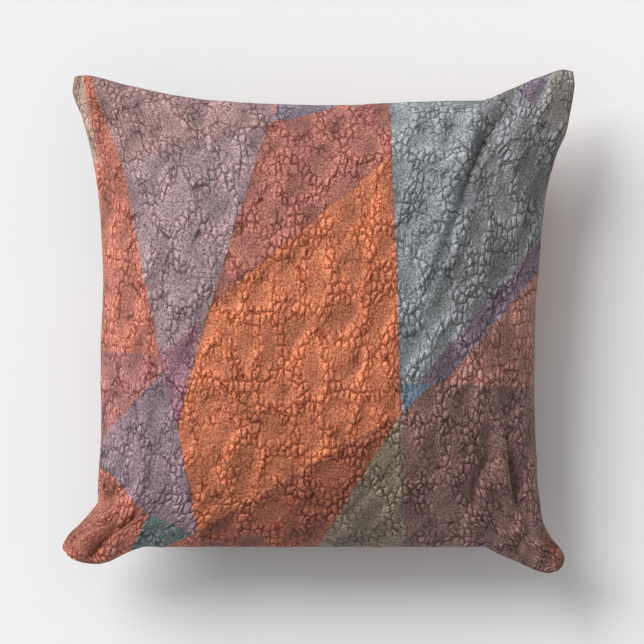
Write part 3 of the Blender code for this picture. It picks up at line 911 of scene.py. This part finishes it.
def zip_point(along, across, out):
    """A point given in the zip's own axes: along it, across it to the front panel, out of its mouth."""
    sine, cosine = math.sin(ZIP_TILT), math.cos(ZIP_TILT)
    setback = (ZIP_MOUTH + FOLD / 2) * sine
    along, across, out = np.broadcast_arrays(along, across, out)
    return np.stack([ZIP_X + along,
                     ZIP_EDGE / 1000 + setback - across * sine - out * cosine,
                     SEAM_HEIGHT + across * cosine - out * sine], axis=-1)


def zip_coil(name, side):
    """One row of the zip: a nylon strand wound into a coil."""
    pitch, wire, radius, points = 0.0013, 0.00026, 0.0006, 10
    turns = int((COIL_END - COIL_START) / pitch)
    turn = np.arange(turns * points + 1) / points
    route = zip_point(COIL_START + turn * pitch,
                      side * (COIL_SPREAD + radius * np.cos(2 * math.pi * turn)),
                      COIL_DEPTH + radius * np.sin(2 * math.pi * turn))
    sheet = Sheet()
    tube(sheet, route, wire, up=(1, 0, 0))
    return sheet.build(name)


def make_zip():
    """Coils, stitching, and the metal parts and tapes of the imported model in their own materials."""
    nylon = plastic_material("coil_nylon", (92, 66, 60))
    thread = woven_material("zip_thread", (118, 84, 74), 0.0004)
    metal = metal_material("antique_brass", (150, 128, 92))
    tape = woven_material("tape_weave", (112, 80, 70), 0.0006, contrast=0.35)
    for name, side in SIDES:
        stands_for(zip_coil(f"coil_{name}", side), "zip_coil", f"zipper_coil_{name}", nylon)
        reach = TAPE_HALF - 0.003
        ends = zip_point(np.array([-reach, reach]), side * STITCH_SPREAD, STITCH_DEPTH)
        above = zip_point(0, -side, 0) - zip_point(0, 0, 0)
        row = stitches(f"tape_stitching_{name}", ends, 0.003, 0.00014, above)
        stands_for(row, "thread", f"zipper_stitching_{name}", thread)
        dress(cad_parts[f"zipper_tape_{name}"], tape)
    for name in ("slider", "pull_tab", "bottom_stop", "top_stop_front", "top_stop_back"):
        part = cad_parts[f"zipper_{name}"]
        dress(part, metal)
        if name in ("slider", "pull_tab"):
            edges = part.modifiers.new("edges", "BEVEL")
            edges.width = 0.00012
            edges.segments = 2
            edges.limit_method = "ANGLE"


def make_overlock():
    """Thread wound over the raw edges of both allowances, where the seam has no zip."""
    border, weight = seam_line(grid_lines(CELLS * FINER))
    plain = np.flatnonzero(weight == 0)
    gap = int(np.argmax(np.diff(plain))) + 1
    run = np.concatenate([plain[gap:], plain[:gap]])
    pitch, points, wire, wide, high = 0.0042, 12, 0.00022, 0.0022, 0.0015
    outward = spokes(border[run])
    base = seam_ring(border[run], weight[run], -0.0067, 0)
    turn = np.arange(int(distances(base)[-1] / pitch) * points) / points
    route = points_along(base, turn * pitch)
    for axis in (0, 1):
        swing = points_along(np.column_stack([base[:, :2], outward[:, axis]]), turn * pitch)[:, 2]
        route[:, axis] += swing * wide * np.cos(2 * math.pi * turn)
    route[:, 2] += high * np.sin(2 * math.pi * turn)
    sheet = Sheet()
    tube(sheet, route, wire, sides=4, up=(0.3, 0.2, 1))
    cotton = woven_material("overlock_cotton", (150, 110, 96), 0.0004)
    stands_for(sheet.build("overlock_thread"), "thread", "cover_overlock_thread", cotton)


# Insert

def insert_grid(core, side, depth, rise, ring=None):
    """A panel's grid moved in by `depth`, cut down to the insert and rounded off to the insert's seam."""
    rim = INSERT_RIM
    grid = inset(core, side, depth)[rim:-rim, rim:-rim].copy()
    t = np.clip(cells_to_border(len(grid) - 1) / INSERT_ROUND, 0, 1)
    level = SEAM_HEIGHT + side * rise
    grid[..., 2] = level + (grid[..., 2] - level) * np.sqrt(1 - (1 - t) ** 2)
    if ring is None:
        return grid
    return with_border(grid, np.column_stack([ring, np.full(len(ring), level)]))


def insert_ring(cores, depth):
    """Plan of the insert's seam, `depth` inside its outermost line."""
    rings = [ring_of(insert_grid(cores[side], side, INSERT_DEPTH, 0)) for side in (1, -1)]
    ring = (rings[0] + rings[1])[:, :2] / 2
    return ring - spokes(ring) * depth


def ticking_panel(name, side, cores):
    """One panel of the insert's plain white cloth."""
    sheet = Sheet()
    face, lining = (sheet.add(insert_grid(cores[side], side, depth, INSERT_RISE, insert_ring(cores, inward)))
                    for depth, inward in ((INSERT_DEPTH, 0), (INSERT_DEPTH + TICKING, 0.0008)))
    sheet.patch(face, flip=side == -1)
    sheet.patch(lining, flip=side == 1)
    sheet.band(ring_of(face), ring_of(lining), flip=side == 1)
    return sheet.build(name)


def fibre_body(cores):
    """The filling: one soft body with a lumpy surface."""
    sheet = Sheet()
    ring = insert_ring(cores, 0.003)
    grids = {}
    for side in (1, -1):
        grid = insert_grid(cores[side], side, FILL_DEPTH, 0, ring)
        lumps = np.array([[noise.noise(Vector(p) * 45) for p in row] for row in grid])
        depth = 0.0009 * (0.9 + lumps) * edge_fade(len(grid) - 1, 6)
        grids[side] = grid - outward_normals(grid, side) * depth[..., None]
    front = sheet.add(grids[1])
    back = front.copy()
    back[1:-1, 1:-1] = sheet.add(grids[-1][1:-1, 1:-1])
    sheet.patch(front)
    sheet.patch(back, flip=True)
    return sheet.build("fibre_body")


def blank_label(core):
    """The blank care label on the back of the insert."""
    lines = grid_lines(CELLS)
    columns = np.flatnonzero((lines > 0.16) & (lines < 0.52))
    rows = np.flatnonzero((lines > -0.86) & (lines < -0.67))
    sheet = Sheet()
    faces = []
    for depth in LABEL_DEPTHS:
        grid = inset(core, -1, depth)
        faces.append(sheet.add(grid[rows[0]:rows[-1] + 1, columns[0]:columns[-1] + 1]))
    sheet.patch(faces[0], flip=True)
    sheet.patch(faces[1])
    sheet.band(ring_of(faces[0]), ring_of(faces[1]))
    return sheet.build("blank_label")


def make_insert(cores):
    """Ticking, its seam, its label and the filling, all shaped by the simulated cover."""
    white = woven_material("ticking_weave", (226, 224, 216), 0.0007, contrast=0.18)
    for name, side in SIDES:
        panel = ticking_panel(f"ticking_{name}", side, cores)
        stands_for(panel, "ticking", f"insert_{name}_ticking", white)
    ring = insert_ring(cores, 0.0004)
    route = np.column_stack([ring, np.full(len(ring), SEAM_HEIGHT)])
    seam = stitches("insert_stitching", np.vstack([route, route[:1]]), 0.0032, 0.0002, (0, 0, 1))
    thread = woven_material("insert_thread", (232, 230, 224), 0.0004)
    stands_for(seam, "ticking_thread", "insert_seam_thread", thread)
    satin = woven_material("label_satin", (236, 234, 228), 0.0003, rough=0.5)
    stands_for(blank_label(cores[-1]), "label", "insert_label", satin)
    fill = stands_for(fibre_body(cores), "fill", "fibre_fill", fibre_material())


# Stage

def make_stage():
    """A pale floor, a soft light and a wide weak one from the upper left, and even light all round."""
    bpy.ops.mesh.primitive_plane_add(size=12)
    floor = bpy.context.object
    floor.name = "floor"
    material, _, shader = new_material("pale_floor")
    shader.inputs["Base Color"].default_value = linear((239, 239, 239))
    shader.inputs["Roughness"].default_value = 0.9
    dress(floor, material)

    for name, energy, angle, aim in (("key", 2.75, 36, (1, -1, -1.15)), ("fill", 0.55, 110, (1, -1, -2))):
        light = bpy.data.lights.new(name, "SUN")
        light.angle = math.radians(angle)
        light.energy = energy
        lamp = bpy.data.objects.new(name, light)
        lamp.rotation_euler = Vector(aim).to_track_quat("-Z", "Y").to_euler()
        bpy.context.scene.collection.objects.link(lamp)

    world = bpy.data.worlds.new("studio")
    world.use_nodes = True
    background = world.node_tree.nodes["Background"]
    background.inputs["Color"].default_value = (1, 1, 1, 1)
    background.inputs["Strength"].default_value = 0.33
    bpy.context.scene.world = world


def make_camera():
    """Straight above the pillow, from far enough to show it without distortion."""
    lens, sensor, width = 200, 36, 0.5137
    camera = bpy.data.cameras.new("camera")
    camera.lens = lens
    camera.sensor_width = sensor
    camera.clip_end = 20
    obj = bpy.data.objects.new("camera", camera)
    obj.location = (0.0026, -0.0009, SEAM_HEIGHT + width * lens / sensor)
    bpy.context.scene.collection.objects.link(obj)
    bpy.context.scene.camera = obj


bpy.context.scene.view_settings.view_transform = "Standard"
make_camera()
make_stage()
forms, cores = make_forms()
leather = leather_material()
backing = woven_material("cover_backing", (196, 188, 176), 0.0009)
cover_panel("cover_front_panel", "cover_face", 1, forms[1], cores[1], leather, backing)
cover_panel("cover_back_panel", "cover_back", -1, forms[-1], cores[-1], leather, backing)
make_overlock()
make_zip()
make_insert(cores)
